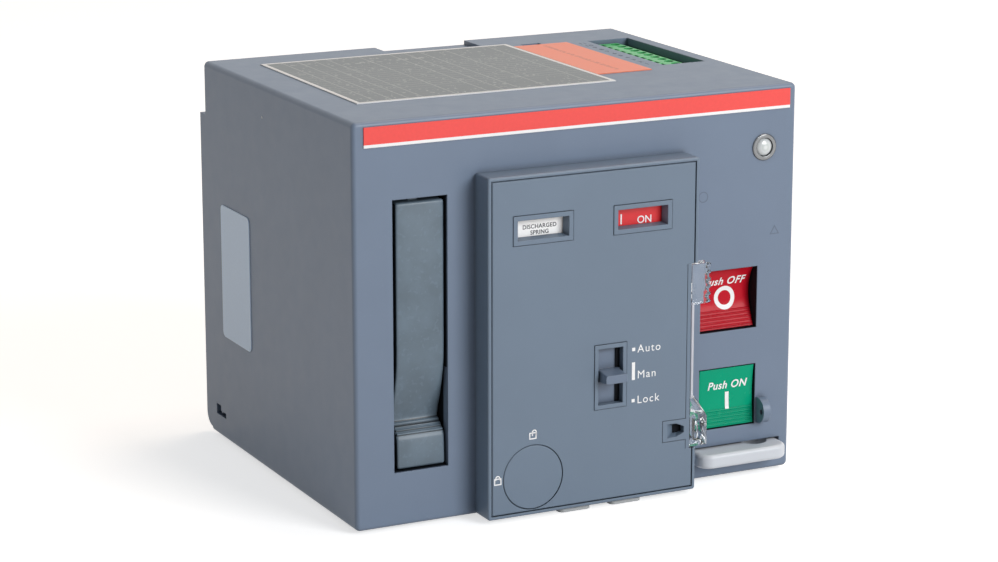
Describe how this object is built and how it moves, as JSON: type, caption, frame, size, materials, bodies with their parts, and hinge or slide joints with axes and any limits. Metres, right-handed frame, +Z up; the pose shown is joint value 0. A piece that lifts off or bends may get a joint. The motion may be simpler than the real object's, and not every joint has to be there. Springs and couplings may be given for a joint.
{
  "type": "motor operator",
  "caption": "Front-mounted stored-energy drive for a moulded case breaker: grey box with charging lever, raised panel, push buttons, clear shutter and padlock slide.",
  "frame": {"origin": "centre of the four fixing holes, on the mounting plane at the rear", "axes": "+X to the right seen from the front, +Y to the rear towards the breaker, +Z up"},
  "size_m": [0.1402, 0.126, 0.1167],
  "materials": {
    "housing_plastic": "moulded grey plastic",
    "dark_plastic": "dark moulded plastic",
    "panel_plastic": "fine textured grey plastic",
    "lever_plastic": "satin grey plastic",
    "red_plastic": "red push button",
    "green_plastic": "green push button",
    "white_plastic": "white plastic",
    "clear_plastic": "clear polycarbonate",
    "terminal_green": "green terminal plastic",
    "steel": "zinc plated steel",
    "brass": "turned brass",
    "spring_steel": "spring steel",
    "motor_metal": "painted motor can",
    "coil_tape": "coil winding with tape",
    "gear_plastic": "natural acetal",
    "board": "circuit board",
    "stripe_red": "printed red stripe",
    "label_print": "printed table label",
    "orange_print": "orange label",
    "label_white": "pale label",
    "flag_white": "white flag",
    "flag_red": "red flag",
    "rubber_pad": "pale foot pad"
  },
  "bodies": {
    "housing": {"housing_cover": "housing_plastic", "rear_base": "dark_plastic", "cover_screws": "steel", "foot_pads": "rubber_pad", "panel_frame": "panel_plastic", "panel_plate": "panel_plastic", "keylock_blank": "panel_plastic", "seal_insert": "panel_plastic", "spring_bezel": "panel_plastic", "status_bezel": "panel_plastic", "selector_bezel": "dark_plastic", "flag_guide": "dark_plastic", "shutter_guide": "dark_plastic", "lever_bracket": "steel", "lever_pin": "steel", "left_side_plate": "steel", "right_side_plate": "steel", "tie_rods": "steel", "shaft_bushes": "brass", "gearbox_plate": "steel", "gearbox_pillars": "steel", "idler_pin": "steel", "drive_motor": "motor_metal", "guide_rods": "steel", "closing_springs": "spring_steel", "button_guide": "dark_plastic", "button_springs": "spring_steel", "closing_coil": "coil_tape", "opening_coil": "coil_tape", "limit_switches": "dark_plastic", "slide_guide": "dark_plastic", "lamp_ring": "dark_plastic", "lamp_lens": "clear_plastic", "control_board": "board", "terminal_header": "terminal_green", "front_stripe": "stripe_red", "table_label": "label_print", "orange_label": "orange_print", "side_label": "label_white"},
    "lever": {"charging_lever": "lever_plastic"},
    "link": {"charging_link": "steel"},
    "carrier": {"clutch_carrier": "steel", "drive_clutch": "spring_steel"},
    "shaft": {"main_shaft": "steel", "main_gear": "gear_plastic", "charging_cam": "steel"},
    "idler": {"idler_gear": "gear_plastic"},
    "rotor": {"motor_rotor": "brass"},
    "carriage": {"toggle_carriage": "dark_plastic"},
    "spring_indicator": {"spring_flag": "flag_white"},
    "status_indicator": {"status_flag": "flag_red"},
    "selector": {"selector_knob": "lever_plastic"},
    "shutter": {"clear_shutter": "clear_plastic"},
    "off": {"off_button": "red_plastic"},
    "on": {"on_button": "green_plastic"},
    "closing_plunger": {"closing_core": "steel"},
    "opening_plunger": {"opening_core": "steel"},
    "padlock": {"padlock_slide": "white_plastic"},
    "plug": {"terminal_plug": "terminal_green", "terminal_screws": "steel"}
  },
  "joints": [
    {"name": "lever_swing", "type": "hinge", "parent": "housing", "child": "lever", "pos_m": [-0.05, -0.1029, 0.0308], "axis": [-1, 0, 0], "range_deg": [0, 72]},
    {"name": "link_turn", "type": "hinge", "parent": "lever", "child": "link", "pos_m": [-0.05, -0.1005, 0.04459], "axis": [-1, 0, 0], "range_deg": [-72, 0]},
    {"name": "carrier_turn", "type": "hinge", "parent": "housing", "child": "carrier", "pos_m": [-0.05, -0.0544, -0.0192], "axis": [-1, 0, 0], "range_deg": [0, 72]},
    {"name": "shaft_spin", "type": "hinge", "parent": "housing", "child": "shaft", "pos_m": [0, -0.0544, -0.0192], "axis": [1, 0, 0], "continuous": true},
    {"name": "idler_spin", "type": "hinge", "parent": "housing", "child": "idler", "pos_m": [-0.031, -0.0394, 0.00678], "axis": [1, 0, 0], "continuous": true},
    {"name": "motor_spin", "type": "hinge", "parent": "housing", "child": "rotor", "pos_m": [-0.031, -0.06019, 0.01878], "axis": [1, 0, 0], "continuous": true},
    {"name": "carriage_slide", "type": "slide", "parent": "housing", "child": "carriage", "axis": [0, 0, -1], "range_m": [0, 0.026], "stiffness_N_per_m": 400, "springref_m": -0.02, "deforming": ["closing_springs"]},
    {"name": "spring_flag_slide", "type": "slide", "parent": "housing", "child": "spring_indicator", "axis": [0, 0, -1], "range_m": [0, 0.007]},
    {"name": "status_flag_slide", "type": "slide", "parent": "housing", "child": "status_indicator", "axis": [0, 0, -1], "range_m": [0, 0.007]},
    {"name": "selector_slide", "type": "slide", "parent": "housing", "child": "selector", "axis": [0, 0, 1], "range_m": [-0.0062, 0.0062]},
    {"name": "shutter_slide", "type": "slide", "parent": "housing", "child": "shutter", "axis": [1, 0, 0], "range_m": [0, 0.0205]},
    {"name": "off_press", "type": "slide", "parent": "housing", "child": "off", "axis": [0, 1, 0], "range_m": [0, 0.003], "stiffness_N_per_m": 400, "springref_m": -0.002, "deforming": ["button_springs"]},
    {"name": "on_press", "type": "slide", "parent": "housing", "child": "on", "axis": [0, 1, 0], "range_m": [0, 0.003], "stiffness_N_per_m": 400, "springref_m": -0.002, "deforming": ["button_springs"]},
    {"name": "closing_coil_pull", "type": "slide", "parent": "housing", "child": "closing_plunger", "axis": [0, -1, 0], "range_m": [0, 0.003], "stiffness_N_per_m": 300, "springref_m": -0.002},
    {"name": "opening_coil_pull", "type": "slide", "parent": "housing", "child": "opening_plunger", "axis": [0, -1, 0], "range_m": [0, 0.003], "stiffness_N_per_m": 300, "springref_m": -0.002},
    {"name": "padlock_pull", "type": "slide", "parent": "housing", "child": "padlock", "axis": [0, -1, 0], "range_m": [-0.0055, 0.005]},
    {"name": "plug_pull", "type": "slide", "parent": "housing", "child": "plug", "axis": [0, 0, 1], "range_m": [0, 0.012]}
  ],
  "couplings": [
    {"joint": "link_turn", "follows": "lever_swing", "ratio": -1},
    {"joint": "carrier_turn", "follows": "lever_swing", "ratio": 1},
    {"joint": "idler_spin", "follows": "shaft_spin", "ratio": -4},
    {"joint": "motor_spin", "follows": "shaft_spin", "ratio": 12},
    {"joint": "spring_flag_slide", "follows": "carriage_slide", "ratio": 0.26923},
    {"joint": "status_flag_slide", "follows": "carriage_slide", "ratio": 0.26923}
  ]
}
